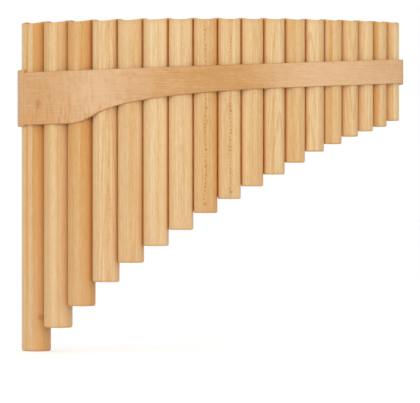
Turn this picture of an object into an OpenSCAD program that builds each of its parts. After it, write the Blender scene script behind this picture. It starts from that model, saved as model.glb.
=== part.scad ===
// Pan flute of eighteen wooden pipes on a curve, held by two belts and two end caps.
// Each pipe is closed by a cork with wax on it, which slides in the bore for tuning.
// Millimetres, +Z up. The convex front faces -Y, and the bass pipe is at -X.
// Origin: middle of the outline seen from above, at the height of the bass pipe's foot.

/* [Pipes] */
// Length of the bass pipe, from its foot to the ridge of its rim
bass_pipe_length = 239.5; // [234:0.5:275]
// Outside diameter of the bass pipe
bass_pipe_d = 21.4; // [19:0.1:23]
// Outside diameter of the treble pipe
treble_pipe_d = 12.3; // [11:0.1:14]
// Wall of every pipe
pipe_wall = 2.1; // [1.6:0.1:2.6]
// Glue line between neighbouring pipes
pipe_glue = 0.15; // [0.1:0.05:0.4]
// Slope of the rim on both sides of its ridge, in degrees
rim_slope = 12; // [6:1:18]
// Width of the flat ridge left along the rims
ridge_width = 1.2; // [0.6:0.1:2]
// Rounding of the outer edge at each pipe's foot
foot_round = 1; // [0.4:0.1:1.4]

/* [Arc] */
// Radius of the arc through the pipe axes
arc_radius = 195; // [180:1:260]
// Angle from the middle of the arc to the bass pipe, in degrees
bass_angle = 41.3; // [34:0.1:44]

/* [Tuning] */
// Note of the bass pipe, in hertz
lowest_note = 392; // [385:1:400]
// Share of the bore's diameter by which the air column reaches past the rim
mouth_correction = 0.35; // [0.25:0.01:0.45]
// Length of each cork
cork_length = 12; // [9:0.5:14]
// Radial clearance of a cork and its wax in the bore
cork_fit = 0.05; // [0.03:0.01:0.08]
// Chamfer round both ends of each cork
cork_chamfer = 0.5; // [0.2:0.1:0.8]
// Thickness of the wax at its edge
wax_thickness = 2.5; // [1.5:0.1:3.5]
// Depth of the hollow in the middle of the wax
wax_dish = 0.6; // [0.2:0.1:1]
// Width of the flat edge round that hollow
wax_edge = 0.7; // [0.4:0.1:1.2]

/* [Belts] */
// Thickness of both belts and both end caps
belt_thickness = 2.9; // [2:0.1:4]
// Glue line between the belts or caps and the pipes
belt_glue = 0.1; // [0.06:0.02:0.2]
// Distance from the rims down to the belts at the bass end
bass_belt_drop = 37.3; // [30:0.1:45]
// Distance from the rims down to the belts at the treble end
treble_belt_drop = 27.5; // [20:0.1:30]
// How late the belts' top edge rises: 1 is a straight line
belt_rise = 1.7; // [1:0.1:2.5]
// Height of the belts at the bass end
bass_belt_height = 37.9; // [30:0.1:45]
// Height of the belts at the treble end
treble_belt_height = 17.5; // [14:0.1:20]
// Distance along the arc from the bass pipe to where the belts start to narrow
shoulder_at = 38; // [30:0.5:44]
// Distance along the arc from the bass pipe to the steepest place of the lower edge
flank_at = 60; // [54:0.5:70]
// Slope of the lower edge there
flank_slope = 0.5; // [0.35:0.01:0.6]
// Distance along the arc from the bass pipe to where the belts are narrow
tail_at = 200; // [160:1:220]
// Rounding of the belts' and caps' outer edges
belt_round = 0.9; // [0.4:0.1:1.2]

/* [End caps] */
// How far the bass cap stands above the belts
bass_cap_above = 2; // [0:0.1:3]
// How far the bass cap hangs below the belts
bass_cap_below = 1.2; // [0:0.1:3]
// How far the treble cap hangs below the belts
treble_cap_below = 0.7; // [0:0.1:2]
// How far the front belt runs on round the treble pipe before its cap, in degrees
treble_wrap = 26; // [10:1:40]

/* [Hidden] */
// Cutting list: how much shorter each pipe is than the one before it, bass to treble
shorter_by = [17.5, 16, 17.5, 14, 12, 11.5, 12, 10, 9, 8.5, 8.5, 8, 5.5, 5.5, 4, 3.5, 4.5];
// Semitones of each pipe above the bass pipe: a scale of C that starts on G
scale_steps = [0, 2, 4, 5, 7, 9, 10, 12, 14, 16, 17, 19, 21, 22, 24, 26, 28, 29];
sound_speed = 345000;       // millimetres a second, in a warm room
flank_share = 1 / 3;        // share of the narrowing done at the steepest place
shoulder_handle = 0.41;     // how far the shoulder's handle reaches towards the flank
flank_handle_before = 8.5;  // handles of the curve on both sides of the steepest place
flank_handle_after = 12;
tail_handle = 0.31;         // how far from the flank to the tail the tail's handle stands
belt_step = 4;              // longest chord of a belt
wrap_steps = 6;             // chords of the front belt round the treble pipe
corner_steps = 4;           // chords of a belt's rounded edge
past = 1;                   // how far a cutting solid runs past what it cuts
half_turn = 180;
$fn = 96;

last = len(shorter_by);  // number of the treble pipe, where the bass pipe is 0
bass_r = bass_pipe_d / 2;
treble_r = treble_pipe_d / 2;
rim_z = bass_pipe_length;

pipe_colour = [0.90, 0.73, 0.52];
belt_colour = [0.86, 0.66, 0.46];
cap_colour = [0.88, 0.71, 0.50];
cork_colour = [0.72, 0.53, 0.36];
wax_colour = [0.85, 0.66, 0.30];

function two_digits(i) = i < 9 ? str("0", i + 1) : str(i + 1);
function numbered(word) = [for (i = [0 : last]) str(word, "_", two_digits(i))];
PIPES = numbered("pipe");
CORKS = numbered("cork");
WAXES = numbered("wax");

// Pipes: each is narrower than the last by the same ratio
function pipe_r(i) = bass_r * pow(treble_r / bass_r, i / last);
function bore_r(i) = pipe_r(i) - pipe_wall;
function pipe_length(i) = i == 0 ? bass_pipe_length : pipe_length(i - 1) - shorter_by[i - 1];
function foot_z(i) = rim_z - pipe_length(i);

// Places on the arc: angles are from the middle line, positive towards the treble end
function step_angle(i) = 2 * asin((pipe_r(i) + pipe_r(i + 1) + pipe_glue) / 2 / arc_radius);
function pipe_angle(i) = i == 0 ? -bass_angle : pipe_angle(i - 1) + step_angle(i - 1);
first_angle = pipe_angle(0);
last_angle = pipe_angle(last);
function outward(angle) = [sin(angle), -cos(angle)];
function on_arc(angle) = arc_radius * outward(angle);
cap_reach = belt_glue + belt_thickness;
bass_spot = on_arc(first_angle);
treble_spot = on_arc(last_angle);
left_x = bass_spot[0] - bass_r - cap_reach;
right_x = treble_spot[0] + treble_r + cap_reach;
rear_y = max(bass_spot[1] + bass_r, treble_spot[1] + treble_r) + cap_reach;
front_y = -arc_radius - envelope_r(0) - cap_reach;
arc_centre = -[left_x + right_x, front_y + rear_y] / 2;

// Distance from the arc to the outside of the pipes, which tapers evenly along the arc
function along(angle) = (angle - first_angle) / (last_angle - first_angle);
function envelope_r(angle) = bass_r + (treble_r - bass_r) * along(angle);

// Tuning: a quarter of the note's wavelength, less what the air column gains at the mouth
function note(i) = lowest_note * pow(2, scale_steps[i] / 12);
function stop_depth(i) = sound_speed / note(i) / 4 - mouth_correction * 2 * bore_r(i);
function wax_z(i) = rim_z - stop_depth(i) - wax_thickness;
function cork_z(i) = wax_z(i) - cork_length;

// Belts: the height of their upper and lower edge at a distance along the arc
arc_length = (last_angle - first_angle) * PI / half_turn * arc_radius;
narrowing = bass_belt_height - treble_belt_height;
flank_drop = narrowing * flank_share;
shoulder_curve = [[shoulder_at, 0],
                  [shoulder_at + shoulder_handle * (flank_at - shoulder_at), 0],
                  [flank_at - flank_handle_before, flank_drop - flank_handle_before * flank_slope],
                  [flank_at, flank_drop]];
tail_curve = [[flank_at, flank_drop],
              [flank_at + flank_handle_after, flank_drop + flank_handle_after * flank_slope],
              [flank_at + tail_handle * (tail_at - flank_at), narrowing],
              [tail_at, narrowing]];
function bezier(p, t) = pow(1 - t, 3) * p[0] + 3 * t * pow(1 - t, 2) * p[1]
                        + 3 * t * t * (1 - t) * p[2] + pow(t, 3) * p[3];
function bezier_at(p, s, low = 0, high = 1, tries = 16) =
    let (middle = (low + high) / 2, found = bezier(p, middle))
    tries == 0 ? found[1]
    : found[0] < s ? bezier_at(p, s, middle, high, tries - 1)
    : bezier_at(p, s, low, middle, tries - 1);
function narrowed(s) = s <= shoulder_at ? 0
    : s <= flank_at ? bezier_at(shoulder_curve, s)
    : s < tail_at ? bezier_at(tail_curve, s)
    : narrowing;
function belt_top(s) = rim_z - bass_belt_drop
    + (bass_belt_drop - treble_belt_drop) * pow(min(1, max(0, s / arc_length)), belt_rise);
function belt_bottom(s) = belt_top(s) - bass_belt_height + narrowed(s);

// A station of a belt: centre, angle, glued and outer distance from the centre, bottom, top
belt_chords = ceil(arc_length / belt_step);
belt_angles = [for (k = [0 : belt_chords])
    first_angle + (last_angle - first_angle) * k / belt_chords];
function arc_station(angle, side) =
    let (s = along(angle) * arc_length, glued = envelope_r(angle) + belt_glue)
    [arc_centre, angle, arc_radius + side * glued, arc_radius + side * (glued + belt_thickness),
     belt_bottom(s), belt_top(s)];
function wrap_station(k) =
    [arc_centre + treble_spot, last_angle + treble_wrap * k / wrap_steps, treble_r + belt_glue,
     treble_r + cap_reach, belt_bottom(arc_length), belt_top(arc_length)];
front_stations = concat([for (a = belt_angles) arc_station(a, 1)],
                        [for (k = [1 : wrap_steps]) wrap_station(k)]);
rear_stations = [for (a = belt_angles) arc_station(a, -1)];

// The belt's section at a station: square on the glued side, rounded on the outer side
function section(st) =
    let (glued = st[2], outer = st[3], low = st[4], high = st[5],
         side = sign(outer - glued), inset = outer - side * belt_round)
    concat([[glued, low]],
           [for (k = [0 : corner_steps]) let (a = 90 * k / corner_steps)
               [inset + side * belt_round * sin(a), low + belt_round * (1 - cos(a))]],
           [for (k = [corner_steps : -1 : 0]) let (a = 90 * k / corner_steps)
               [inset + side * belt_round * sin(a), high - belt_round * (1 - cos(a))]],
           [[glued, high]]);
function placed(st) = [for (p = section(st)) let (xy = st[0] + p[0] * outward(st[1])) [xy[0], xy[1], p[1]]];

// Sweeps the sections of all stations into one closed strip
module strip(stations, flip) {
    ring = len(section(stations[0]));
    count = len(stations);
    points = [for (st = stations) each placed(st)];
    sides = [for (i = [0 : count - 2], j = [0 : ring - 1])
        let (a = i * ring + j, b = i * ring + (j + 1) % ring)
        each [[a, a + ring, b + ring], [a, b + ring, b]]];
    start = [[for (j = [0 : ring - 1]) j]];
    end = [[for (j = [ring - 1 : -1 : 0]) (count - 1) * ring + j]];
    faces = concat(start, sides, end);
    polyhedron(points, flip ? [for (f = faces) [for (k = [len(f) - 1 : -1 : 0]) f[k]]] : faces);
}

module at_pipe(i, z) {
    translate(concat(arc_centre + on_arc(pipe_angle(i)), z)) rotate(pipe_angle(i)) children();
}

// What rounding takes off a square corner that points to +X and -Y, with the corner at the origin
module corner_waste(r) {
    difference() {
        translate([-r, -past]) square([r + past, r + past]);
        translate([-r, r]) circle(r);
        translate([-r - past, -past]) square([past, r + 2 * past]);
    }
}

// The rim is sanded down to the front and to the rear, and leaves a ridge along the arc
module rim_block(r, length) {
    eave = length - (r + past - ridge_width / 2) * tan(rim_slope);
    rotate([90, 0, 90]) linear_extrude(2 * (r + past), center = true)
        polygon([[-r - past, -past], [r + past, -past], [r + past, eave],
                 [ridge_width / 2, length], [-ridge_width / 2, length], [-r - past, eave]]);
}

module pipe(i) {
    length = pipe_length(i);
    r = pipe_r(i);
    color(pipe_colour) at_pipe(i, foot_z(i)) intersection() {
        difference() {
            rotate_extrude() difference() {
                square([r, length]);
                translate([r, 0]) corner_waste(foot_round);
            }
            translate([0, 0, -past]) cylinder(r = bore_r(i), h = length + 2 * past);
        }
        rim_block(r, length);
    }
}

module cork(i) {
    r = bore_r(i) - cork_fit;
    color(cork_colour) at_pipe(i, cork_z(i)) rotate_extrude()
        polygon([[0, 0], [r - cork_chamfer, 0], [r, cork_chamfer], [r, cork_length - cork_chamfer],
                 [r - cork_chamfer, cork_length], [0, cork_length]]);
}

module wax(i) {
    r = bore_r(i) - cork_fit;
    dish_r = r - wax_edge;
    ball_r = (dish_r * dish_r + wax_dish * wax_dish) / 2 / wax_dish;
    color(wax_colour) at_pipe(i, wax_z(i)) difference() {
        cylinder(r = r, h = wax_thickness);
        translate([0, 0, wax_thickness - wax_dish + ball_r]) sphere(ball_r);
    }
}

// A cap is part of a ring round an end pipe, from one joint with the belts to the other
module end_cap(i, from, sweep, low, high) {
    inner = pipe_r(i) + belt_glue;
    outer = inner + belt_thickness;
    color(cap_colour) translate(arc_centre + on_arc(pipe_angle(i))) rotate(from - 90)
        rotate_extrude(angle = sweep) difference() {
            translate([inner, low]) square([belt_thickness, high - low]);
            translate([outer, low]) corner_waste(belt_round);
            translate([outer, high]) mirror([0, 1]) corner_waste(belt_round);
        }
}

module front_belt() { color(belt_colour) strip(front_stations, false); }

module rear_belt() { color(belt_colour) strip(rear_stations, true); }

module bass_end_cap() {
    end_cap(0, first_angle - half_turn, half_turn,
            belt_bottom(0) - bass_cap_below, belt_top(0) + bass_cap_above);
}

module treble_end_cap() {
    end_cap(last, last_angle + treble_wrap, half_turn - treble_wrap,
            belt_bottom(arc_length) - treble_cap_below, belt_top(arc_length));
}

for (i = [0 : last]) pipe(i);
for (i = [0 : last]) cork(i);
for (i = [0 : last]) wax(i);
front_belt();
rear_belt();
bass_end_cap();
treble_end_cap();
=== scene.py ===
"""A pan flute: eighteen wooden pipes on a curve, held by two belts and two end caps.

Metres, in the CAD model's frame: +Z runs up the pipes to their mouths, the convex front faces -Y
and the bass pipe is at -X. The sections follow the flute as it is put together.
"""

import math

import bmesh
import bpy
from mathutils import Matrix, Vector
from mathutils.bvhtree import BVHTree


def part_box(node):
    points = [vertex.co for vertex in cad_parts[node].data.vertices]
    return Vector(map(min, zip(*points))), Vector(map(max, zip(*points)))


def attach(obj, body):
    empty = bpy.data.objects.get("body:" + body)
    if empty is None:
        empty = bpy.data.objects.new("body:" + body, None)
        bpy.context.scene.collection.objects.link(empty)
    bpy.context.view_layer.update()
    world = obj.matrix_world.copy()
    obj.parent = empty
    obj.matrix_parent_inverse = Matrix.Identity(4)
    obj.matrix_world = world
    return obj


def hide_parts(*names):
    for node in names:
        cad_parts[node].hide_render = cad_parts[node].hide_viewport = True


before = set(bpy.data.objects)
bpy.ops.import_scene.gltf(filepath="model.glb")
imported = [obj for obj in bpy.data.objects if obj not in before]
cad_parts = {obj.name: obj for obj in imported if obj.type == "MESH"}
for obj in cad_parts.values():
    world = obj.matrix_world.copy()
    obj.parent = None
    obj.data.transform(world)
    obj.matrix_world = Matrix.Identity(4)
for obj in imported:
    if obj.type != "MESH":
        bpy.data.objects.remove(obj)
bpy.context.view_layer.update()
MM = 0.001

# CAMERA
# The flute is seen square on and level, through a long lens at about the height of its middle.
# The points are where its features show in the photograph, in pixels of a 420 x 403 frame.
IMAGE_W, IMAGE_H = 420, 403
POINTS = {
    "left_side": (18.0, None),
    "right_side": (404.1, None),
    "rims_top": (None, 17.8),
    "bass_foot": (None, 351.5),
    "treble_foot": (None, 121.2),
    "groove_5_6": (142.8, None),
    "groove_12_13": (305.2, None),
    "belt_top_bass": (43.5, 71.4),
    "belt_top_middle": (210.0, 65.3),
    "belt_top_treble": (386.5, 59.6),
    "belt_bottom_bass": (43.5, 124.4),
    "belt_bottom_flank": (100.4, 110.5),
    "belt_bottom_middle": (210.0, 92.0),
    "belt_bottom_treble": (386.5, 83.6),
    "belt_knot": (38.0, 104.0),
    "belt_fleck": (49.0, 96.5),
    "bass_pipe_spot": (41.0, 317.5),
}
CAMERA_AT = Vector((-0.0003, -2.1014, 0.1087))
LENS = 250
SENSOR = 36
NEAREST_TRIES = 12  # how often the place nearest to a ray that misses is looked for again

camera_data = bpy.data.cameras.new("camera")
camera_data.lens = LENS
camera_data.sensor_width = SENSOR
camera_data.sensor_fit = "AUTO"
camera_data.clip_start = 0.1
camera_data.clip_end = 30
camera = bpy.data.objects.new("camera", camera_data)
camera.location = CAMERA_AT
camera.rotation_euler = (math.pi / 2, 0, 0)
scene = bpy.context.scene
scene.collection.objects.link(camera)
scene.camera = camera
scene.view_settings.view_transform = "Standard"


def camera_axes(point):
    """The image point in the camera's own axes, on a plane one long side of the image away."""
    side = max(IMAGE_W, IMAGE_H)
    across = point[0] - IMAGE_W / 2 + camera_data.shift_x * side
    up = IMAGE_H / 2 - point[1] + camera_data.shift_y * side
    return Vector((across, up, -side * LENS / SENSOR))


def place_on(carrier, point):
    """Where the image point lies on a finished piece, or on the piece's place nearest to it."""
    bpy.context.view_layer.update()
    to_piece = carrier.matrix_world.inverted()
    start = to_piece @ camera.matrix_world.translation
    aim = (to_piece.to_3x3() @ camera.matrix_world.to_3x3() @ camera_axes(point)).normalized()
    tree = BVHTree.FromObject(carrier, bpy.context.evaluated_depsgraph_get())
    found = tree.ray_cast(start, aim)[0]
    if found is None:
        found = tree.find_nearest(start)[0]
        for _ in range(NEAREST_TRIES):
            found = tree.find_nearest(start + aim * (found - start).dot(aim))[0]
    return carrier.matrix_world @ found


def shown_at(place):
    """The image point at which a place in the scene shows."""
    seen = camera.matrix_world.inverted() @ Vector(place)
    side = max(IMAGE_W, IMAGE_H)
    scale = side * LENS / SENSOR / -seen.z
    x = IMAGE_W / 2 - camera_data.shift_x * side + seen.x * scale
    y = IMAGE_H / 2 + camera_data.shift_y * side - seen.y * scale
    return x, y


# PIPES
# Eighteen tubes of pale, even maple, each turned round, bored through and sawn to its length. They
# stand side by side on the arc, and their rims are sanded down to the front and to the rear of a
# ridge and rounded over, so that the lip rests on them. A thin coat of satin varnish covers them.
PIPES = 18
WALL = 2.1 * MM
RIM_SLOPE = math.tan(math.radians(12))
RIDGE = 0.8 * MM  # how widely the two slopes of a rim blend into each other
LIP_ROUND = 0.5 * MM
FOOT_ROUND = 0.15  # of a pipe's radius
BORE_BREAK = 0.2 * MM  # on the inner edge of a foot
SUPPORT = 0.4 * MM  # how far from a rounded edge the flat beside it starts
PIPE_SIDES = 96
EDGE_STEPS = 6  # how many flats make up a rounded edge


def smooth_object(name, rings, closed=False, ends=False):
    """A smooth mesh over a row of rings of equally many points, closed on itself or with ends."""
    count = len(rings[0])
    faces = []
    for i in range(len(rings) if closed else len(rings) - 1):
        here, there = i * count, (i + 1) % len(rings) * count
        for j in range(count):
            k = (j + 1) % count
            faces.append((here + j, here + k, there + k, there + j))
    if ends:
        faces.append(tuple(range(count)))
        faces.append(tuple(range((len(rings) - 1) * count, len(rings) * count)))
    mesh = bpy.data.meshes.new(name)
    mesh.from_pydata([point for ring in rings for point in ring], [], faces)
    shell = bmesh.new()
    shell.from_mesh(mesh)
    bmesh.ops.recalc_face_normals(shell, faces=shell.faces)
    shell.to_mesh(mesh)
    shell.free()
    mesh.shade_smooth()
    made = bpy.data.objects.new(name, mesh)
    scene.collection.objects.link(made)
    return made


def pipe_place(number):
    """A pipe's centre, outer radius, foot and ridge, as the CAD pipe has them."""
    low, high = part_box(f"pipe_{number:02}")
    centre = (low + high) / 2
    radius = (high.x - low.x + high.y - low.y) / 4
    return Vector((centre.x, centre.y)), radius, low.z, high.z


def circle_through(a, b, c):
    """The centre of the circle through three points."""
    b, c = b - a, c - a
    d = 2 * b.cross(c)
    bb, cc = b.dot(b), c.dot(c)
    return a + Vector(((c.y * bb - b.y * cc) / d, (b.x * cc - c.x * bb) / d))


places = [pipe_place(n) for n in range(1, PIPES + 1)]
arc_centre = circle_through(places[0][0], places[PIPES // 2][0], places[-1][0])


def angle_from(centre, spot):
    """The angle of a spot round a centre, from the front and positive towards the treble end."""
    return math.atan2(spot[0] - centre[0], centre[1] - spot[1])


def rounded_edge():
    """Sines and cosines of evenly spaced angles over a quarter turn."""
    turns = [math.pi / 2 * k / EDGE_STEPS for k in range(EDGE_STEPS + 1)]
    return [(math.sin(t), math.cos(t)) for t in turns]


def pipe_rings(radius, length, outward):
    """The rings of a pipe: round the foot, up the outside, over the rim and down into the bore."""
    bore, round_off = radius - WALL, radius * FOOT_ROUND

    def rim(r, turn):
        depth = r * math.cos(turn - outward)
        return length - RIM_SLOPE * (math.hypot(depth, RIDGE) - RIDGE)

    edge = rounded_edge()
    foot = [(bore, BORE_BREAK), (bore + BORE_BREAK, 0), (radius - round_off - SUPPORT, 0)]
    foot += [(radius - round_off * (1 - s), round_off * (1 - c)) for s, c in edge]
    foot += [(radius, round_off + SUPPORT)]
    over = [(radius, LIP_ROUND + SUPPORT)]
    over += [(radius - LIP_ROUND * (1 - c), LIP_ROUND * (1 - s)) for s, c in edge]
    over += [((radius + bore) / 2, 0)]
    over += [(bore + LIP_ROUND * (1 - c), LIP_ROUND * (1 - s)) for s, c in reversed(edge)]
    over += [(bore, LIP_ROUND + SUPPORT)]
    turns = [2 * math.pi * k / PIPE_SIDES for k in range(PIPE_SIDES)]
    rings = [[(r * math.sin(t), -r * math.cos(t), z) for t in turns] for r, z in foot]
    rings += [[(r * math.sin(t), -r * math.cos(t), rim(r, t) - drop) for t in turns]
              for r, drop in over]
    return rings


def add_node(tree, kind, inputs=None, **settings):
    """A shader node with its settings, and its inputs as values or as sockets to join to."""
    made = tree.nodes.new("ShaderNode" + kind)
    for name, value in settings.items():
        setattr(made, name, value)
    for socket, value in (inputs or {}).items():
        if isinstance(value, bpy.types.NodeSocket):
            tree.links.new(value, made.inputs[socket])
        else:
            made.inputs[socket].default_value = value
    return made


def calc(tree, operation, *values):
    """The result of one Math node."""
    return add_node(tree, "Math", dict(enumerate(values)), operation=operation).outputs[0]


def blend_in(tree, amount, under, over):
    """A colour with another one laid over it by an amount."""
    mix = add_node(tree, "Mix", data_type="RGBA", clamp_factor=True)
    for socket, value in ((0, amount), (6, under), (7, over)):
        if isinstance(value, bpy.types.NodeSocket):
            tree.links.new(value, mix.inputs[socket])
        else:
            mix.inputs[socket].default_value = value
    return mix.outputs[2]


def between(tree, value, low, high, start=0.0, end=1.0):
    """A value brought smoothly from low..high to start..end."""
    inputs = {"Value": value, "From Min": low, "From Max": high, "To Min": start, "To Max": end}
    return add_node(tree, "MapRange", inputs, interpolation_type="SMOOTHSTEP").outputs[0]


def noise_4d(tree, vector, seed, scale, detail, **more):
    """The outputs of a noise whose fourth dimension is the seed; more sets its other inputs."""
    inputs = {"Vector": vector, "W": seed, "Scale": scale, "Detail": detail, **more}
    return add_node(tree, "TexNoise", inputs, noise_dimensions="4D").outputs


def times(tree, vector, factors):
    """A vector with each of its parts multiplied by a factor of its own."""
    return add_node(tree, "VectorMath", {0: vector, 1: factors}, operation="MULTIPLY").outputs[0]


def stretched(tree, vector, width, length):
    """A vector whose pattern comes out a width across the grain and a length along Z."""
    across = calc(tree, "DIVIDE", 1.0, width)
    along = calc(tree, "DIVIDE", 1.0, length)
    factors = add_node(tree, "CombineXYZ", {0: across, 1: across, 2: along}).outputs[0]
    return times(tree, vector, factors)


def new_group(name, inputs, outputs):
    """An empty shader node group; inputs map names to their values, vectors to None."""
    group = bpy.data.node_groups.new(name, "ShaderNodeTree")
    for label, value in inputs.items():
        kind = "NodeSocketVector" if value is None else "NodeSocketFloat"
        socket = group.interface.new_socket(name=label, in_out="INPUT", socket_type=kind)
        if value is not None:
            socket.default_value = value
    for label in outputs:
        group.interface.new_socket(name=label, in_out="OUTPUT", socket_type="NodeSocketFloat")
    given = group.nodes.new("NodeGroupInput")
    result = group.nodes.new("NodeGroupOutput")
    return group, given.outputs, result.inputs


def use_group(tree, group, **values):
    """A group placed in a material, with its own values; spaces in names are written as _."""
    made = tree.nodes.new("ShaderNodeGroup")
    made.node_tree = group
    for label, value in values.items():
        socket = made.inputs[label.replace("_", " ")]
        if isinstance(value, bpy.types.NodeSocket):
            tree.links.new(value, socket)
        else:
            socket.default_value = value
    return made.outputs


GRAIN_BENDS = 0.16  # how many bends of the growth rings there are in a millimetre across the grain
GRAIN_WAVE = 6.0  # the length, in millimetres, that a bend of them would have along it unstretched
GRAIN_SWING = 4.0  # how far a bend with a wander of 1 moves them, in millimetres
LATE_WOOD = (0.55, 0.93, 1.0)  # shares of a ring at which its dark line starts, is darkest and ends


def growth_rings():
    """Thin darker lines where the wood's yearly layers meet the surface; the grain runs along Z."""
    inputs = {"Vector": None, "Spacing": 2.0, "Facing": 0.0, "Run-out": 0.0, "Wander": 0.6,
              "Wave": 40.0, "Seed": 0.0}
    tree, given, result = new_group("growth_rings", inputs, ["Line"])
    stretch = calc(tree, "DIVIDE", GRAIN_WAVE, given["Wave"])
    scaled = add_node(tree, "CombineXYZ", {0: 1.0, 1: 1.0, 2: stretch}).outputs[0]
    bends = noise_4d(tree, times(tree, given["Vector"], scaled), given["Seed"], GRAIN_BENDS, 3.0,
                     Roughness=0.55)[0]
    bends = calc(tree, "MULTIPLY", calc(tree, "SUBTRACT", bends, 0.5), given["Wander"])
    bends = calc(tree, "MULTIPLY", bends, GRAIN_SWING)
    place = add_node(tree, "SeparateXYZ", {0: given["Vector"]}).outputs
    depth = calc(tree, "MULTIPLY", place[0], calc(tree, "COSINE", given["Facing"]))
    depth = calc(tree, "MULTIPLY_ADD", place[1], calc(tree, "SINE", given["Facing"]), depth)
    depth = calc(tree, "MULTIPLY_ADD", place[2], given["Run-out"], depth)
    depth = calc(tree, "ADD", depth, bends)
    share = calc(tree, "FRACT", calc(tree, "DIVIDE", depth, given["Spacing"]))
    starts, darkest, ends = LATE_WOOD
    rise = between(tree, share, starts, darkest)
    fall = between(tree, share, darkest, ends, 1.0, 0.0)
    tree.links.new(calc(tree, "MULTIPLY", rise, fall), result["Line"])
    return tree


BAND_WIDTH = 5.0  # how many fibres wide a band is
BAND_LENGTH = 3.0  # how many fibres long


def long_fibres():
    """Fine streaks along Z at two widths, as the wood's fibres and vessels make them."""
    inputs = {"Vector": None, "Width": 0.5, "Length": 40.0, "Seed": 0.0}
    tree, given, result = new_group("long_fibres", inputs, ["Fibre", "Band"])
    wide = calc(tree, "MULTIPLY", given["Width"], BAND_WIDTH)
    long = calc(tree, "MULTIPLY", given["Length"], BAND_LENGTH)
    for name, width, length in (("Fibre", given["Width"], given["Length"]), ("Band", wide, long)):
        vector = stretched(tree, given["Vector"], width, length)
        streaks_and_shade_bands = noise_4d(tree, vector, given["Seed"], 1.0, 2.0, Roughness=0.6)[0]
        tree.links.new(streaks_and_shade_bands, result[name])
    return tree


BEAD_DRIFT = 0.07  # how many sways of a chain of beads there are in a millimetre
BEAD_UNEVEN = 3.0  # how unevenly the beads follow each other
BEAD_SIZES = (0.6, 1.2)  # the smallest and the largest bead, as shares of the given size


def bead_chain():
    """A row of small round marks along Z, where a wavy layer of the wood touches the surface."""
    inputs = {"Vector": None, "Place": 0.0, "Spacing": 2.0, "Size": 0.5, "Sway": 0.8, "Seed": 0.0}
    tree, given, result = new_group("bead_chain", inputs, ["Bead"])
    place = add_node(tree, "SeparateXYZ", {0: given["Vector"]}).outputs
    along = calc(tree, "MULTIPLY", place[2], BEAD_DRIFT)
    way = add_node(tree, "CombineXYZ", {0: 0.0, 1: 0.0, 2: along}).outputs[0]
    drift = noise_4d(tree, way, given["Seed"], 1.0, 3.0)
    step = calc(tree, "DIVIDE", place[2], given["Spacing"])
    step = calc(tree, "MULTIPLY_ADD", drift["Fac"], BEAD_UNEVEN, step)
    bead_seed = calc(tree, "ADD", calc(tree, "FLOOR", step), given["Seed"])
    pick = add_node(tree, "TexWhiteNoise", {"W": bead_seed}, noise_dimensions="1D").outputs["Value"]
    sway = between(tree, drift["Fac"], 0.3, 0.7, -1.0, 1.0)
    sway = calc(tree, "ADD", sway, calc(tree, "SUBTRACT", pick, 0.5))
    middle = calc(tree, "MULTIPLY_ADD", sway, given["Sway"], given["Place"])
    aside = calc(tree, "SUBTRACT", place[0], middle)
    past = calc(tree, "SUBTRACT", calc(tree, "FRACT", step), 0.5)
    past = calc(tree, "MULTIPLY", past, given["Spacing"])
    away = calc(tree, "ADD", calc(tree, "POWER", aside, 2.0), calc(tree, "POWER", past, 2.0))
    away = calc(tree, "SQRT", away)
    size = calc(tree, "MULTIPLY", given["Size"], between(tree, pick, 0.0, 1.0, *BEAD_SIZES))
    mark = between(tree, away, calc(tree, "MULTIPLY", size, 0.4), size, 1.0, 0.0)
    shows = add_node(tree, "SeparateXYZ", {0: drift["Color"]}).outputs[1]
    shows = between(tree, shows, 0.38, 0.55, 0.15, 1.0)
    tree.links.new(calc(tree, "MULTIPLY", mark, shows), result["Bead"])
    return tree


GROWTH_RINGS = growth_rings()
LONG_FIBRES = long_fibres()
BEAD_CHAIN = bead_chain()


def tint(code):
    """A colour written as it shows, as six hexadecimal digits, for a shader's socket."""
    parts = [int(code[k : k + 2], 16) / 255 for k in (0, 2, 4)]
    return [((c + 0.055) / 1.055) ** 2.4 if c > 0.04045 else c / 12.92 for c in parts] + [1.0]


def new_material(name, **values):
    """A material with a Principled BSDF; values set its plain sockets, spaces written as _."""
    material = bpy.data.materials.new(name)
    material.use_nodes = True
    shader = material.node_tree.nodes["Principled BSDF"]
    for label, value in values.items():
        shader.inputs[label.replace("_", " ")].default_value = value
    return material, material.node_tree, shader


def millimetres(tree, vector):
    """A vector in metres brought to millimetres."""
    return add_node(tree, "VectorMath", {0: vector, "Scale": 1 / MM}, operation="SCALE").outputs[0]


MAPLE_PALE = tint("F5DEB0")
MAPLE_TAN = tint("D39D57")
MAPLE_LINE = tint("C8823A")
# Golden streaks, partly painted shade: tan bands where the lamps leave a pipe darker
MAPLE_STREAK_AND_SHADE = tint("D08A30")
MAPLE_PINK = tint("DDA987")
MAPLE_BLOND = tint("E8BF95")
MAPLE_BEAD = tint("B97A34")
MAPLE_END = tint("DDA25C")
# Painted warm bounce light beside a groove, and painted shade at the groove's bottom
MAPLE_PAINTED_BOUNCE = tint("EDB270")
MAPLE_GROOVE_SHADE = tint("C47B1E")
MAPLE_SPOT = tint("A8621F")
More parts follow.
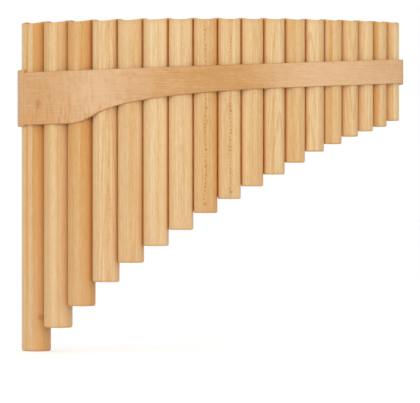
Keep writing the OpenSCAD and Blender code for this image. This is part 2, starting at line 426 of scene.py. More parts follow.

# How each pipe's wood looks, bass to treble. Tones are shares of the way across it and how tan it
# is there; besides the wood's own tone they hold painted shade, tan where the lamps leave a pipe
# darker, as on a flank beside a nearer neighbour and in a band between the lamps. Pink is the
# strength of rosy bands, and gold how golden the wood is near the rim. The yearly layers have a
# facing in degrees, a run-out, and lines with a wander, a wave and a strength. A golden streak,
# partly grain and partly a painted band of shade, has a place across, in millimetres, a width and a
# strength, and a chain of beads a place, the spacing and size of its beads, and a strength.
PIPE_WOOD = [
    dict(tones=((0.07, 0.4), (0.2, 0.6), (0.3, 0.5), (0.45, 0.65), (0.65, 0.7)), facing=10,
         pink=0.1, gold=0.1,
         streaks_and_shade_bands=((-6.3, 0.9, 0.45), (-1.2, 1.1, 0.45), (1.6, 3.6, 0.45), (4.6, 1.8, 0.35))),
    dict(tones=((0.1, 0.4), (0.2, 0.55), (0.35, 0.35), (0.5, 0.6), (0.7, 0.45), (0.8, 0.1)),
         facing=-20, pink=0.1, gold=0.15,
         streaks_and_shade_bands=((-8.4, 1.8, 0.25), (-6.4, 0.5, 0.35), (0.6, 0.8, 0.35))),
    dict(tones=((0.1, 0.6), (0.2, 0.85), (0.35, 0.6), (0.55, 0.95), (0.7, 0.85)), facing=15,
         pink=0.1, gold=0.12,
         streaks_and_shade_bands=((-8.6, 1.8, 0.4), (-3.0, 0.8, 0.3), (3.6, 1.4, 0.15), (6.8, 1.4, 0.35))),
    dict(tones=((0.1, 0.4), (0.4, 0.4), (0.6, 0.6), (0.75, 0.25), (0.9, 0.0)), facing=104,
         wander=0.4, wave=20, run_out=0.03, line=0.25, beads=((2.2, 1.7, 0.6, 0.6),),
         streaks_and_shade_bands=((-5.4, 0.5, 0.35), (-2.8, 0.5, 0.3), (-0.4, 0.5, 0.35), (5.6, 0.5, 0.3))),
    dict(tones=((0.1, 0.5), (0.4, 0.6), (0.6, 0.7), (0.7, 0.6), (0.8, 0.4), (0.9, 0.2)), facing=20,
         beads=((0.4, 2.6, 0.5, 0.4),)),
    dict(tones=((0.1, 0.4), (0.4, 0.4), (0.6, 0.55), (0.8, 0.15), (0.9, 0.0)), facing=-12),
    dict(tones=((0.1, 0.4), (0.4, 0.45), (0.6, 0.6), (0.8, 0.3), (0.9, 0.1)), facing=30),
    dict(tones=((0.1, 0.5), (0.3, 0.6), (0.5, 0.8), (0.65, 0.7), (0.9, 0.8)), facing=90,
         wander=0.5, wave=30, line=0.2,
         beads=((0.0, 3.0, 1.1, 0.75), (0.5, 1.3, 0.7, 0.5), (-0.5, 1.1, 0.6, 0.5),
                (-1.5, 1.6, 0.6, 0.3))),
    dict(tones=((0.1, 0.35), (0.3, 0.5), (0.5, 0.65), (0.7, 0.5), (0.9, 0.3)), facing=83,
         wander=0.5, wave=30, line=0.2,
         beads=((0.9, 2.6, 1.0, 0.7), (0.2, 1.4, 0.7, 0.45), (1.4, 1.2, 0.6, 0.45),
                (2.1, 1.9, 0.6, 0.3))),
    dict(tones=((0.1, 0.3), (0.3, 0.5), (0.45, 0.65), (0.7, 0.6), (0.9, 0.6)), facing=-8),
    dict(tones=((0.1, 0.3), (0.25, 0.3), (0.45, 0.6), (0.7, 0.4), (0.9, 0.5)), facing=118,
         run_out=0.05, line=0.3, streaks_and_shade_bands=((0.2, 0.7, 0.3),)),
    dict(tones=((0.1, 0.4), (0.25, 0.6), (0.45, 0.85), (0.6, 0.6), (0.75, 0.65), (0.9, 0.6)),
         facing=25),
    dict(tones=((0.15, 0.15), (0.3, 0.25), (0.5, 0.55), (0.65, 0.4), (0.9, 0.6)), facing=60,
         run_out=0.06, line=0.3),
    dict(tones=((0.15, 0.1), (0.25, 0.3), (0.45, 0.8), (0.6, 0.6), (0.9, 0.65)), facing=5,
         streaks_and_shade_bands=((-1.4, 2.2, 0.4),)),
    dict(tones=((0.25, 0.3), (0.3, 0.35), (0.5, 0.65), (0.65, 0.5), (0.9, 0.65)), facing=120,
         run_out=-0.05, line=0.3),
    dict(tones=((0.2, 0.25), (0.4, 0.55), (0.65, 0.45), (0.9, 0.55)), facing=-15),
    dict(tones=((0.3, 0.9), (0.5, 0.85), (0.6, 0.6), (0.75, 0.65), (0.9, 0.7)), facing=15),
    dict(tones=((0.35, 0.75), (0.55, 0.6), (0.7, 0.4), (0.95, 0.45)), facing=-25),
]


# What changes down a pipe, in millimetres below its ridge: from where, to where, and the strength
# at both. The tone darkens, the gold goes, the wood turns blond and the streaks and their painted
# shade fade.
TONE_DOWN = (0.0, 200.0, -0.06, 0.06)
GOLD_DOWN = (60.0, 230.0)
BLOND_DOWN = (80.0, 230.0, 0.0, 0.3)
STREAKS_AND_SHADE_DOWN = (70.0, 220.0, 1.0, 0.45)
RIM_WEAR = (1.5, 5.5, 0.3, 0.0)
FOOT_WEAR = (0.3, 2.0, 0.3, 0.0)  # this one from the foot up

# How strongly painted shade darkens the groove beside a pipe, near the rims and lower down.
GROOVE_SHADE_DOWN = (25.0, 75.0)
GROOVE_SHADE_BASS_SIDE = (0.3, 0.4)
GROOVE_SHADE_TREBLE_SIDE = (0.5, 0.25)

MAPLE_RING = 1.9  # millimetres between two growth rings
MAPLE_SWAY = (-0.9, 0.9)  # how far, in millimetres, streaks and tones sway along a pipe
MAPLE_BANDS = (-0.13, 0.19)  # how far bands, strands and fibres move the tone both ways
MAPLE_STRANDS = (-0.08, 0.08)
MAPLE_FIBRES = (-0.15, 0.15)
MAPLE_ROUGH = (0.40, 0.52)
END_GRAIN = 0.4  # how strongly a cut end shows
END_ROUGH = 0.12  # how much rougher it is
# Painted bounce light: how strongly it warms the wood beside a groove
PAINTED_BOUNCE = 0.25  # how strongly the wood glows beside a groove
SPOT_SIZE = 4.5  # how far it reaches, in millimetres
SPOT_STRENGTH = 0.55
SOLID_CORE = 0.3  # the share of a streak's or spot's size within which it is at full strength
SEED_STEP = 3.7  # how far apart the patterns of neighbouring pipes are
BAND_SEED = 50  # the same for a piece's fibres and its bands
BEAD_SEED = 5  # the same for a pipe's chains of beads

# How a noise is read: over the span of nearly all its values, or over the middle of them.
NOISE_SPAN = (0.25, 0.75)
NOISE_MIDDLE = (0.3, 0.7)


def tone_ramp(tree, share, tones):
    """A value that follows stops of share and tone."""
    ramp = add_node(tree, "ValToRGB", {0: share})
    elements = ramp.color_ramp.elements
    while len(elements) < len(tones):
        elements.new(0.5)
    for element, (place, tone) in zip(elements, tones):
        element.position = place
        element.color = (tone, tone, tone, 1)
    return ramp.outputs[0]


def near_line(tree, across, place, width):
    """1 on an upright plane at a place across the pipe, and 0 from a width away."""
    away = calc(tree, "ABSOLUTE", calc(tree, "SUBTRACT", across, place))
    return between(tree, away, width * SOLID_CORE, width, 1.0, 0.0)


def near_spot(tree, vector, spot, size, soften):
    """1 at a spot and 0 from a size away; the spot is in metres, and the rest in millimetres."""
    middle = [c / MM for c in spot]
    away = add_node(tree, "VectorMath", {0: vector, 1: middle}, operation="SUBTRACT")
    far = add_node(tree, "VectorMath", {0: away.outputs[0]}, operation="LENGTH").outputs["Value"]
    return between(tree, calc(tree, "ADD", far, soften), size * SOLID_CORE, size, 1.0, 0.0)


def maple(number, radius, length, joints, tones, facing, run_out=0.0, wander=0.5, wave=60,
          line=0.12, pink=0.3, gold=0.0, streaks_and_shade_bands=(), beads=(), spot=None):
    """The wood of one pipe, in the pipe's own axes.

    Each of the joints is the way to a neighbour, and how strongly painted shade darkens the groove
    beside it near the rims and lower down.
    """
    material, tree, shader = new_material(f"maple_{number:02}", Coat_Weight=0.04,
                                          Coat_Roughness=0.3, Specular_IOR_Level=0.22)
    seed = number * SEED_STEP
    local = add_node(tree, "TexCoord").outputs
    vector = millimetres(tree, local["Object"])
    rings = use_group(tree, GROWTH_RINGS, Vector=vector, Spacing=MAPLE_RING,
                      Facing=math.radians(facing), **{"Run-out": run_out}, Wander=wander,
                      Wave=wave, Seed=seed)
    fibres = use_group(tree, LONG_FIBRES, Vector=vector, Width=0.34, Length=4.0, Seed=seed)
    bands = use_group(tree, LONG_FIBRES, Vector=vector, Width=0.6, Length=70.0,
                      Seed=seed + BAND_SEED)
    place = add_node(tree, "SeparateXYZ", {0: vector}).outputs
    above = place[2]
    below = calc(tree, "SUBTRACT", length / MM, above)

    # The tone: its stops across the pipe, with painted shade in them, roughened by bands and fibres
    across = calc(tree, "ADD", place[0], between(tree, bands["Band"], 0.2, 0.8, *MAPLE_SWAY))
    share = calc(tree, "MULTIPLY_ADD", across, MM / radius / 2, 0.5)
    tone = tone_ramp(tree, share, tones)
    tone = calc(tree, "ADD", tone, between(tree, bands["Fibre"], *NOISE_SPAN, *MAPLE_BANDS))
    tone = calc(tree, "ADD", tone, between(tree, fibres["Band"], *NOISE_SPAN, *MAPLE_STRANDS))
    tone = calc(tree, "ADD", tone, between(tree, fibres["Fibre"], *NOISE_SPAN, *MAPLE_FIBRES))
    tone = calc(tree, "ADD", tone, between(tree, below, *TONE_DOWN))
    colour = blend_in(tree, tone, MAPLE_PALE, MAPLE_TAN)

    # The grain: rosy bands, growth rings, golden streaks that are partly painted shade, chains of
    # beads and the spot
    colour = blend_in(tree, between(tree, bands["Band"], 0.5, 0.8, 0.0, pink), colour, MAPLE_PINK)
    colour = blend_in(tree, calc(tree, "MULTIPLY", rings["Line"], line), colour, MAPLE_LINE)
    colour = blend_in(tree, between(tree, below, *GOLD_DOWN, gold, 0.0), colour, MAPLE_STREAK_AND_SHADE)
    colour = blend_in(tree, between(tree, below, *BLOND_DOWN), colour, MAPLE_BLOND)
    fade = between(tree, below, *STREAKS_AND_SHADE_DOWN)
    # each streak is partly golden grain and partly a painted band of shade
    for at, width, strength in streaks_and_shade_bands:
        mask = calc(tree, "MULTIPLY", near_line(tree, across, at, width), strength)
        colour = blend_in(tree, calc(tree, "MULTIPLY", mask, fade), colour, MAPLE_STREAK_AND_SHADE)
    for k, (at, spacing, size, strength) in enumerate(beads):
        chain = use_group(tree, BEAD_CHAIN, Vector=vector, Place=at, Spacing=spacing, Size=size,
                          Seed=seed + k * BEAD_SEED)
        front = between(tree, place[1], 0.0, 1.0, 1.0, 0.0)
        mask = calc(tree, "MULTIPLY", calc(tree, "MULTIPLY", chain["Bead"], strength), front)
        colour = blend_in(tree, mask, colour, MAPLE_BEAD)
    if spot:
        blur = calc(tree, "MULTIPLY", fibres["Fibre"], 1.5)
        mask = near_spot(tree, vector, spot, SPOT_SIZE, blur)
        colour = blend_in(tree, calc(tree, "MULTIPLY", mask, SPOT_STRENGTH), colour, MAPLE_SPOT)

    # The end grain on rim and foot, and the worn edges beside it
    upward = add_node(tree, "SeparateXYZ", {0: local["Normal"]}).outputs[2]
    cut = between(tree, calc(tree, "ABSOLUTE", upward), 0.35, 0.85)
    worn = calc(tree, "MAXIMUM", between(tree, below, *RIM_WEAR), between(tree, above, *FOOT_WEAR))
    ends = calc(tree, "MAXIMUM", calc(tree, "MULTIPLY", cut, END_GRAIN), worn)
    colour = blend_in(tree, ends, colour, MAPLE_END)

    # The groove beside each neighbour: painted warm bounce light, and painted shade at its bottom
    for way, high, low in joints:
        toward = add_node(tree, "VectorMath", {0: vector, 1: way.to_3d() * (MM / radius)},
                          operation="DOT_PRODUCT").outputs["Value"]
        colour = blend_in(tree, between(tree, toward, 0.4, 0.85, 0.0, PAINTED_BOUNCE), colour, MAPLE_PAINTED_BOUNCE)
        # painted shade at the bottom of the groove
        groove_shade = between(tree, below, *GROOVE_SHADE_DOWN, high, low)
        groove_shade = calc(tree, "MULTIPLY", between(tree, toward, 0.84, 0.99), groove_shade)
        colour = blend_in(tree, groove_shade, colour, MAPLE_GROOVE_SHADE)
    tree.links.new(colour, shader.inputs["Base Color"])

    rough = between(tree, fibres["Fibre"], *NOISE_MIDDLE, *MAPLE_ROUGH)
    tree.links.new(calc(tree, "MULTIPLY_ADD", cut, END_ROUGH, rough), shader.inputs["Roughness"])
    grain = calc(tree, "MULTIPLY_ADD", rings["Line"], -0.6, fibres["Fibre"])
    bump = add_node(tree, "Bump", {"Strength": 0.25, "Distance": 0.05 * MM, "Height": grain})
    tree.links.new(bump.outputs[0], shader.inputs["Normal"])
    return material


pipes = []
for number, (centre, radius, foot, ridge) in enumerate(places, 1):
    rings = pipe_rings(radius, ridge - foot, angle_from(arc_centre, centre))
    pipe = smooth_object(f"pipe_{number:02}_wood", rings, closed=True)
    pipe.location = (centre.x, centre.y, foot)
    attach(pipe, "root")
    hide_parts(f"pipe_{number:02}")
    look = dict(PIPE_WOOD[number - 1])
    if number == 1:
        bass_pipe_spot = place_on(pipe, POINTS["bass_pipe_spot"])
        look["spot"] = pipe.matrix_world.inverted() @ bass_pipe_spot
    # how strongly painted shade darkens the groove on each side
    beside = ((number - 2, GROOVE_SHADE_BASS_SIDE), (number, GROOVE_SHADE_TREBLE_SIDE))
    joints = [((places[k][0] - centre).normalized(), *groove_shade) for k, groove_shade in beside if 0 <= k < PIPES]
    pipe.data.materials.append(maple(number, radius, ridge - foot, joints, **look))
    pipes.append(pipe)

# CORKS AND WAX
# A cork closes each pipe. It is pushed up the bore until the note is right, and beeswax is poured
# on it and hollowed by a warm rod for the last fine tuning. Both slide together in the bore.
CORK_PALE = tint("C49A6C")
CORK_BROWN = tint("8A5A34")
CORK_PORE = tint("4A2C18")
WAX_PALE = tint("E3B45C")
WAX_AMBER = tint("B9792A")


def long_pores():
    """Small lens-shaped marks along Z, where pores of the bark come to the surface."""
    inputs = {"Vector": None, "Width": 0.8, "Length": 2.2, "Share": 0.3, "Seed": 0.0}
    tree, given, result = new_group("long_pores", inputs, ["Pore"])
    vector = stretched(tree, given["Vector"], given["Width"], given["Length"])
    cells = add_node(tree, "TexVoronoi", {"Vector": vector, "W": given["Seed"], "Scale": 1.0,
                                          "Randomness": 0.9}, voronoi_dimensions="4D")
    mark = between(tree, cells.outputs["Distance"], 0.22, 0.5, 1.0, 0.0)
    pick = add_node(tree, "SeparateXYZ", {0: cells.outputs["Color"]}).outputs[0]
    chosen = calc(tree, "GREATER_THAN", pick, calc(tree, "SUBTRACT", 1.0, given["Share"]))
    tree.links.new(calc(tree, "MULTIPLY", mark, chosen), result["Pore"])
    return tree


LONG_PORES = long_pores()


def cork_material():
    """Raw cork: grains of two browns, and dark pores."""
    material, tree, shader = new_material("cork", Specular_IOR_Level=0.25)
    vector = millimetres(tree, add_node(tree, "TexCoord").outputs["Object"])
    grains = add_node(tree, "TexVoronoi", {"Vector": vector, "Scale": 0.9}).outputs
    mottle = add_node(tree, "TexNoise", {"Vector": vector, "Scale": 0.45, "Detail": 4.0}).outputs[0]
    pores = use_group(tree, LONG_PORES, Vector=vector, Width=1.2, Length=3.0, Share=0.35, Seed=2.0)
    pick = add_node(tree, "SeparateXYZ", {0: grains["Color"]}).outputs[0]
    colour = blend_in(tree, calc(tree, "MULTIPLY", pick, 0.5), CORK_PALE, CORK_BROWN)
    colour = blend_in(tree, between(tree, mottle, 0.5, 0.75, 0.0, 0.6), colour, CORK_BROWN)
    colour = blend_in(tree, pores["Pore"], colour, CORK_PORE)
    tree.links.new(colour, shader.inputs["Base Color"])
    tree.links.new(between(tree, mottle, 0.3, 0.7, 0.8, 0.95), shader.inputs["Roughness"])
    height = calc(tree, "SUBTRACT", grains["Distance"], pores["Pore"])
    bump = add_node(tree, "Bump", {"Strength": 0.6, "Distance": 0.15 * MM, "Height": height})
    tree.links.new(bump.outputs[0], shader.inputs["Normal"])
    return material


def wax_material():
    """Poured beeswax: cloudy amber with a dull bloom."""
    material, tree, shader = new_material("beeswax", Subsurface_Weight=0.15, Coat_Weight=0.1)
    vector = millimetres(tree, add_node(tree, "TexCoord").outputs["Object"])
    cloud = add_node(tree, "TexNoise", {"Vector": vector, "Scale": 0.35, "Detail": 3.0}).outputs[0]
    bloom = add_node(tree, "TexNoise", {"Vector": vector, "Scale": 2.2, "Detail": 2.0}).outputs[0]
    colour = blend_in(tree, between(tree, cloud, 0.35, 0.7), WAX_AMBER, WAX_PALE)
    tree.links.new(colour, shader.inputs["Base Color"])
    tree.links.new(between(tree, bloom, 0.3, 0.7, 0.35, 0.55), shader.inputs["Roughness"])
    bump = add_node(tree, "Bump", {"Strength": 0.3, "Distance": 0.1 * MM, "Height": bloom})
    tree.links.new(bump.outputs[0], shader.inputs["Normal"])
    return material


cork, wax = cork_material(), wax_material()
for number in range(1, PIPES + 1):
    for node, material in ((f"cork_{number:02}", cork), (f"wax_{number:02}", wax)):
        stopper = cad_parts[node]
        stopper.data.materials.clear()
        stopper.data.materials.append(material)

# GLUE LINES
# The pipes are glued side by side. A thin, dark line of glue fills the bottom of the groove between
# two pipes, in front and behind, and stops short of their feet and rims.
GLUE_REACH = 1.5 * MM  # how far the glue comes out of the narrowest place between two pipes
GLUE_HOLLOW = 0.25 * MM  # how deep its faces are hollow
GLUE_SHORT = 0.6 * MM  # how far it stops short of a rounded foot and of a rim
GLUE_BITE = 0.03 * MM  # how far it goes into the wood
GLUE_DARK = tint("8F4C08")
GLUE_AMBER = tint("BA6C10")


def glue_section(one, other, near, far):
    """The glue's outline between two pipes' centres and radii, hollow in front and behind."""
    line = (other - one).normalized()
    side = Vector((-line.y, line.x))
    faces = []
    for out in (-1, 1):
        reach = out * GLUE_REACH
        left = math.sqrt(near**2 - reach**2) - GLUE_BITE
        right = (other - one).length - math.sqrt(far**2 - reach**2) + GLUE_BITE
        middle = (left + right) / 2
        row = [(left, reach), (middle, reach - out * GLUE_HOLLOW), (right, reach)]
        faces.append([one + line * a + side * b for a, b in row])
    waist = one + line * (near - GLUE_BITE), one + line * ((other - one).length - far + GLUE_BITE)
    return [*faces[0], waist[1], *reversed(faces[1]), waist[0]]


def glue_material():
    """Wood glue that has set to a clouded amber."""
    material, tree, shader = new_material("glue", Specular_IOR_Level=0.25)
    vector = millimetres(tree, add_node(tree, "TexCoord").outputs["Object"])
    drift = add_node(tree, "TexNoise", {"Vector": vector, "Scale": 0.25, "Detail": 3.0}).outputs[0]
    colour = blend_in(tree, between(tree, drift, 0.35, 0.65), GLUE_DARK, GLUE_AMBER)
    tree.links.new(colour, shader.inputs["Base Color"])
    tree.links.new(between(tree, drift, 0.3, 0.7, 0.35, 0.55), shader.inputs["Roughness"])
    return material


glue = glue_material()
for number, (here, there) in enumerate(zip(places, places[1:]), 1):
    outline = glue_section(here[0], there[0], here[1], there[1])
    foot = max(here[2] + here[1] * FOOT_ROUND, there[2] + there[1] * FOOT_ROUND) + GLUE_SHORT
    top = min(here[3], there[3]) - GLUE_SHORT
    rings = [[(p.x, p.y, z) for p in outline] for z in (foot, top)]
    line = smooth_object(f"glue_line_{number:02}", rings, ends=True)
    line.data.materials.append(glue)
    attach(line, "root")

# BELTS
# Two belts of thin, bent wood are glued to the front and to the rear of the pipes. The lower edge
# falls in an S-curve towards the bass, and the front belt runs on round the treble pipe. The grain
# runs along them, their long edges are rounded, and a satin varnish covers them.
BELT_ROUND = 0.9 * MM
BELT_BREAK = 0.15 * MM  # on the edges that are glued down
END_BREAK = 0.2 * MM
STATION_GAP = 0.002  # two CAD vertices farther apart than this, in radians, are of two stations
STATION_STEPS = 3  # how many pieces the stretch between two stations is made of

BELT_PALE = tint("E4BB8D")
BELT_TAN = tint("C8904F")
BELT_LINE = tint("B98350")
BELT_FLAME = tint("C98648")
BELT_WARM = tint("DA9A55")
BELT_KNOT = tint("C8733A")
BELT_CLOUDS = (-0.12, 0.12)  # how far clouds and fibres move the tone both ways
BELT_FIBRES = (-0.2, 0.2)
BELT_RINGS = 0.12  # how strongly the growth rings show
BELT_ROUGH = (0.44, 0.56)
FLAME_GRAIN = (0.07, 0.1, 0.42)  # how fine the flame is up the belt, through it and along it
FLAME_HOLDS = 0.6  # the share of its length over which it keeps its strength
FLAME_ALONG = (0.75, 0.1)  # its strength there and beyond its length
FLAME_UP = (172, 190, 1.0, 0.25)  # it fades between these heights, in millimetres, to this share
WARMTH_ALONG = (30.0, 60.0, 0.5, 0.1)  # warm patches, with millimetres along the belt
WARMTH_SEED = 9
KNOT = (6.0, 0.5)  # how far it reaches, in millimetres, and its strength
FLECK = (4.5, 0.22)


def cad_stations(node, centre, first, last, side):
    """A bent CAD strip's stations: centre, angle, glued and outer distance from it, low, high."""
    seen = []
    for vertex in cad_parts[node].data.vertices:
        angle = angle_from(centre, vertex.co)
        if first - STATION_GAP < angle < last + STATION_GAP:
            seen.append((angle, (vertex.co.xy - centre).length, vertex.co.z))
    groups = []
    for spot in sorted(seen):
        if not groups or spot[0] - groups[-1][-1][0] > STATION_GAP:
            groups.append([])
        groups[-1].append(spot)
    stations = []
    for group in groups:
        angles, distances, heights = zip(*group)
        reach = sorted((min(distances), max(distances)), reverse=side < 0)
        stations.append((centre, sum(angles) / len(angles), *reach, min(heights), max(heights)))
    return stations


def refined(stations):
    """The stations with some more in between, on a smooth curve through the given ones."""
    found = []
    last = len(stations) - 1
    for i in range(last):
        centre = stations[i][0]
        rows = [stations[min(max(k, 0), last)][1:] for k in range(i - 1, i + 3)]
        for t in (k / STATION_STEPS for k in range(STATION_STEPS)):
            blend = []
            for a, b, c, d in zip(*rows):
                bend = 2 * a - 5 * b + 4 * c - d + t * (3 * (b - c) + d - a)
                blend.append(b + t / 2 * (c - a + t * bend))
            found.append((centre, *blend))
    return found + [stations[-1]]


def belt_section(station, inset):
    """A belt's outline at a station, as distances and heights, drawn in by an inset."""
    _, _, glued, outer, low, high = station
    side = math.copysign(1, outer - glued)
    glued, outer, low, high = glued + side * inset, outer - side * inset, low + inset, high - inset
    flat, side_in = BELT_ROUND + SUPPORT, glued + side * BELT_BREAK
    corner = [(outer - side * BELT_ROUND * (1 - s), BELT_ROUND * (1 - c))
              for s, c in rounded_edge()]
    half = [(glued, BELT_BREAK), (side_in, 0), (outer - side * flat, 0), *corner, (outer, flat)]
    return [(r, low + z) for r, z in half] + [(r, high - z) for r, z in reversed(half)]


def bent_strip(name, stations):
    """A strip bent through stations; its grain attribute holds height, depth and way along it."""
    first, last = stations[0], stations[-1]
    turn = END_BREAK / first[3], END_BREAK / last[3]
    inner = [(s[0], s[1] + turn[0], *s[2:]) for s in stations[:1]] + stations[1:-1]
    inner += [(s[0], s[1] - turn[1], *s[2:]) for s in stations[-1:]]
    rows = [(first, END_BREAK)] + [(s, 0) for s in inner] + [(last, END_BREAK)]
    rings, grain, along, before = [], [], 0, None
    for station, inset in rows:
        centre, angle = station[:2]
        way = Vector((math.sin(angle), -math.cos(angle)))
        middle = centre + way * station[3]
        along += (middle - before).length if before else 0
        before = middle
        outline = belt_section(station, inset)
        rings.append([(*(centre + way * r), z) for r, z in outline])
        grain += [(z, r, along) for r, z in outline]
    strip = smooth_object(name, rings, ends=True)
    attribute = strip.data.attributes.new("grain", "FLOAT_VECTOR", "POINT")
    attribute.data.foreach_set("vector", [value for spot in grain for value in spot])
    return strip


def belt_wood(name, seed, tones, flame_to, knots=()):
    """Bent wood, with a tone that changes along it and a flame from its start to a length."""
    material, tree, shader = new_material(name, Coat_Weight=0.08, Coat_Roughness=0.35,
                                          Specular_IOR_Level=0.35)
    grain = add_node(tree, "Attribute", attribute_name="grain").outputs["Vector"]
    vector = millimetres(tree, grain)
    place = add_node(tree, "SeparateXYZ", {0: vector}).outputs
    up, along = place[0], place[2]
    rings = use_group(tree, GROWTH_RINGS, Vector=vector, Spacing=1.6, Wander=0.9, Wave=70.0,
                      Seed=seed)
    fibres = use_group(tree, LONG_FIBRES, Vector=vector, Width=0.4, Length=3.5, Seed=seed)
    bands = use_group(tree, LONG_FIBRES, Vector=vector, Width=0.6, Length=40.0,
                      Seed=seed + BAND_SEED)
    cloud = noise_4d(tree, vector, seed, 0.11, 3.0, Roughness=0.6)[0]

    # The tone: its stops along the belt, roughened by clouds and fibres
    whole = tones[-1][0]
    share = calc(tree, "DIVIDE", along, whole)
    tone = tone_ramp(tree, share, [(at / whole, tone) for at, tone in tones])
    tone = calc(tree, "ADD", tone, between(tree, cloud, *NOISE_MIDDLE, *BELT_CLOUDS))
    tone = calc(tree, "ADD", tone, between(tree, fibres["Fibre"], *NOISE_SPAN, *BELT_FIBRES))
    tone = calc(tree, "ADD", tone, between(tree, bands["Fibre"], *NOISE_SPAN, *BELT_FIBRES))
    colour = blend_in(tree, tone, BELT_PALE, BELT_TAN)
    colour = blend_in(tree, calc(tree, "MULTIPLY", rings["Line"], BELT_RINGS), colour, BELT_LINE)

    # The flame, which runs across the grain, and warm patches
    flame = noise_4d(tree, times(tree, vector, FLAME_GRAIN), seed, 1.0, 2.0)[0]
    strength = between(tree, along, flame_to * FLAME_HOLDS, flame_to, *FLAME_ALONG)
    strength = calc(tree, "MULTIPLY", strength, between(tree, up, *FLAME_UP))
    flame = calc(tree, "MULTIPLY", between(tree, flame, 0.45, 0.7), strength)
    colour = blend_in(tree, flame, colour, BELT_FLAME)
    warmth = noise_4d(tree, vector, seed + WARMTH_SEED, 0.1, 3.0)[0]
    strength = between(tree, along, *WARMTH_ALONG)
    warmth = calc(tree, "MULTIPLY", between(tree, warmth, 0.3, 0.75), strength)
    colour = blend_in(tree, warmth, colour, BELT_WARM)

    if knots:
        flute = millimetres(tree, add_node(tree, "TexCoord").outputs["Object"])
        blur = calc(tree, "MULTIPLY", fibres["Fibre"], 2.0)
        for spot, size, strength in knots:
            mask = calc(tree, "MULTIPLY", near_spot(tree, flute, spot, size, blur), strength)
            colour = blend_in(tree, mask, colour, BELT_KNOT)
    tree.links.new(colour, shader.inputs["Base Color"])
    rough = between(tree, fibres["Fibre"], *NOISE_MIDDLE, *BELT_ROUGH)
    tree.links.new(rough, shader.inputs["Roughness"])
    bump = add_node(tree, "Bump", {"Strength": 0.1, "Distance": 0.05 * MM,
                                   "Height": fibres["Fibre"]})
    tree.links.new(bump.outputs[0], shader.inputs["Normal"])
    return material


bass_angle, treble_angle = (angle_from(arc_centre, places[k][0]) for k in (0, -1))
bass_spot, treble_spot = places[0][0], places[-1][0]
front_arc = cad_stations("front_belt", arc_centre, bass_angle, treble_angle, 1)
front_wrap = cad_stations("front_belt", treble_spot, treble_angle, math.pi, 1)
rear_arc = cad_stations("rear_belt", arc_centre, bass_angle, treble_angle, -1)

front_belt = bent_strip("front_belt_wood", refined(front_arc)[:-1] + refined(front_wrap))
rear_belt = bent_strip("rear_belt_wood", refined(rear_arc))
knot, fleck = (place_on(front_belt, POINTS[name]) for name in ("belt_knot", "belt_fleck"))

# How tan each belt is, bass to treble: millimetres along it, and the tone there.
FRONT_TONES = [(0, 0.3), (15, 0.4), (37, 0.2), (70, 0.05), (84, 0.3), (97, 0.5), (118, 0.75),
               (135, 0.85), (152, 0.97), (172, 0.88), (185, 0.65), (195, 0.4), (215, 0.18),
               (250, 0.06), (275, 0.18), (300, 0.28), (330, 0.45)]
REAR_TONES = [(0, 0.4), (60, 0.6), (120, 0.2), (200, 0.5), (270, 0.3)]
marks = [(knot, *KNOT), (fleck, *FLECK)]
front_wood = belt_wood("front_belt_wood", seed=5.0, tones=FRONT_TONES, flame_to=110.0, knots=marks)
rear_wood = belt_wood("rear_belt_wood", seed=11.0, tones=REAR_TONES, flame_to=60.0)
front_belt.data.materials.append(front_wood)
rear_belt.data.materials.append(rear_wood)
for strip, node in ((front_belt, "front_belt"), (rear_belt, "rear_belt")):
    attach(strip, "root")
    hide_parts(node)

# END CAPS
# A cap of the same bent wood goes round each end pipe, from one belt to the other. It is glued to
# the pipe with butt joints, and stands a little proud of the belts above and below.
CAP_TURN = math.radians(5)  # the most that a cap turns between two stations
CAP_ALONG = 45  # millimetres round the larger cap
CAP_FLAME = 40.0
CAP_SEEDS = (20.0, 27.0)


def cap_stations(node, centre, first, last):
    """The stations of a CAD cap round its pipe, from one angle to another."""
    low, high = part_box(node)
    away = [(vertex.co.xy - centre).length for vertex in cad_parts[node].data.vertices]
    steps = math.ceil((last - first) / CAP_TURN)
    angles = [first + (last - first) * k / steps for k in range(steps + 1)]
    return [(centre, angle, min(away), max(away), low.z, high.z) for angle in angles]


wrap_angle = front_wrap[-1][1]

# Each cap's node, the centre it turns round, the angles of its joints, and its tone.
CAPS = [("bass_end_cap", bass_spot, bass_angle - math.pi, bass_angle, 0.35),
        ("treble_end_cap", treble_spot, wrap_angle, treble_angle + math.pi, 0.75)]
caps = []
for seed, (node, centre, first, last, tone) in zip(CAP_SEEDS, CAPS):
    cap = bent_strip(f"{node}_wood", cap_stations(node, centre, first, last))
    tones = [(0, tone), (CAP_ALONG, tone)]
    cap.data.materials.append(belt_wood(f"{node}_wood", seed, tones, CAP_FLAME))
    caps.append(cap)
    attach(cap, "root")
    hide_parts(node)

# STUDIO
# A plain pale floor, an even dome, and three soft lamps in front of the flute. Seen directly or in
# a reflection, the world is white and the floor is lifted to white, except where a shadow falls.
FLUTE_MIDDLE = Vector((0, 0, 0.13))
DOME = 0.65  # the strength of the dome's light on the flute
FLOOR_LIFT = 0.41  # how much light the floor adds of its own where it is seen directly
FLOOR_GREY = (0.85, 0.85, 0.85, 1)
FLOOR_CORNERS = [(-6, -3, 0), (6, -3, 0), (6, 12, 0), (-6, 12, 0)]
WHITE = (1, 1, 1, 1)

# Each lamp's name, place, width and height, and power in watts.
LAMPS = [("front_light", (0, -2.2, 0.5), (2.6, 0.8), 11.5),
         ("left_light", (-1.7, -1.6, 0.35), (0.8, 1.0), 8.5),
         ("right_light", (1.7, -1.6, 0.35), (0.8, 1.0), 7.5)]


def soft_light(name, at, size, power):
    """A rectangular lamp that faces the middle of the flute."""
    data = bpy.data.lights.new(name, "AREA")
    data.shape = "RECTANGLE"
    data.size, data.size_y = size
    data.energy = power
    lamp = bpy.data.objects.new(name, data)
    lamp.location = at
    lamp.rotation_euler = (FLUTE_MIDDLE - Vector(at)).to_track_quat("-Z", "Y").to_euler()
    scene.collection.objects.link(lamp)


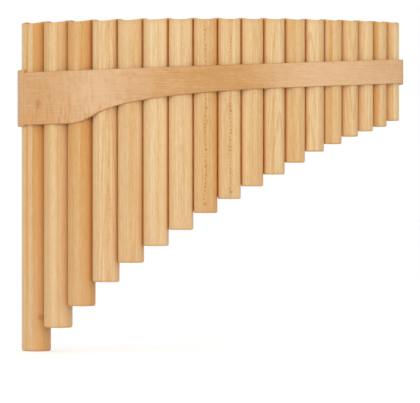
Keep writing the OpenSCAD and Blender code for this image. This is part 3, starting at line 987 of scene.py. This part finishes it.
def seen_directly(tree):
    """1 for camera rays and for rays off mirrors or through glass."""
    rays = add_node(tree, "LightPath").outputs
    mirrored = calc(tree, "MAXIMUM", rays["Is Glossy Ray"], rays["Is Transmission Ray"])
    return calc(tree, "MAXIMUM", rays["Is Camera Ray"], mirrored)


for lamp in LAMPS:
    soft_light(*lamp)

world = bpy.data.worlds.new("studio")
world.use_nodes = True
scene.world = world
background = world.node_tree.nodes["Background"]
background.inputs["Color"].default_value = WHITE
level = calc(world.node_tree, "MAXIMUM", seen_directly(world.node_tree), DOME)
world.node_tree.links.new(level, background.inputs["Strength"])

floor_mesh = bpy.data.meshes.new("floor")
floor_mesh.from_pydata(FLOOR_CORNERS, [], [(0, 1, 2, 3)])
floor = bpy.data.objects.new("floor", floor_mesh)
scene.collection.objects.link(floor)
floor_paint, tree, shader = new_material("floor", Base_Color=FLOOR_GREY, Roughness=0.9,
                                         Emission_Color=WHITE)
lift = calc(tree, "MULTIPLY", seen_directly(tree), FLOOR_LIFT)
tree.links.new(lift, shader.inputs["Emission Strength"])
floor_mesh.materials.append(floor_paint)

EDGE_REACH = 1.2  # how far to both sides of an x, in pixels, a belt's vertices count


def seen_points(piece):
    """Where a finished piece's vertices show in the image."""
    ready = piece.evaluated_get(bpy.context.evaluated_depsgraph_get())
    return [shown_at(piece.matrix_world @ vertex.co) for vertex in ready.data.vertices]


def belt_edge(x, pick):
    """The height at which the front belt's edge shows at an image x."""
    return pick(seen[1] for seen in seen_points(front_belt) if abs(seen[0] - x) < EDGE_REACH)


bpy.context.view_layer.update()
all_seen = [seen for piece in [*pipes, front_belt, rear_belt, *caps] for seen in seen_points(piece)]
shown = {
    "left_side": (min(seen[0] for seen in all_seen), None),
    "right_side": (max(seen[0] for seen in all_seen), None),
    "rims_top": (None, min(seen[1] for seen in all_seen)),
    "bass_foot": (None, max(seen[1] for seen in all_seen)),
    "treble_foot": (None, max(seen[1] for seen in seen_points(pipes[-1]))),
    "groove_5_6": (min(seen[0] for seen in seen_points(pipes[5])), None),
    "groove_12_13": (max(seen[0] for seen in seen_points(pipes[11])), None),
    "belt_knot": shown_at(knot),
    "belt_fleck": shown_at(fleck),
    "bass_pipe_spot": shown_at(bass_pipe_spot),
}
for name, point in POINTS.items():
    if name.startswith("belt_top"):
        shown[name] = (point[0], belt_edge(point[0], min))
    if name.startswith("belt_bottom"):
        shown[name] = (point[0], belt_edge(point[0], max))
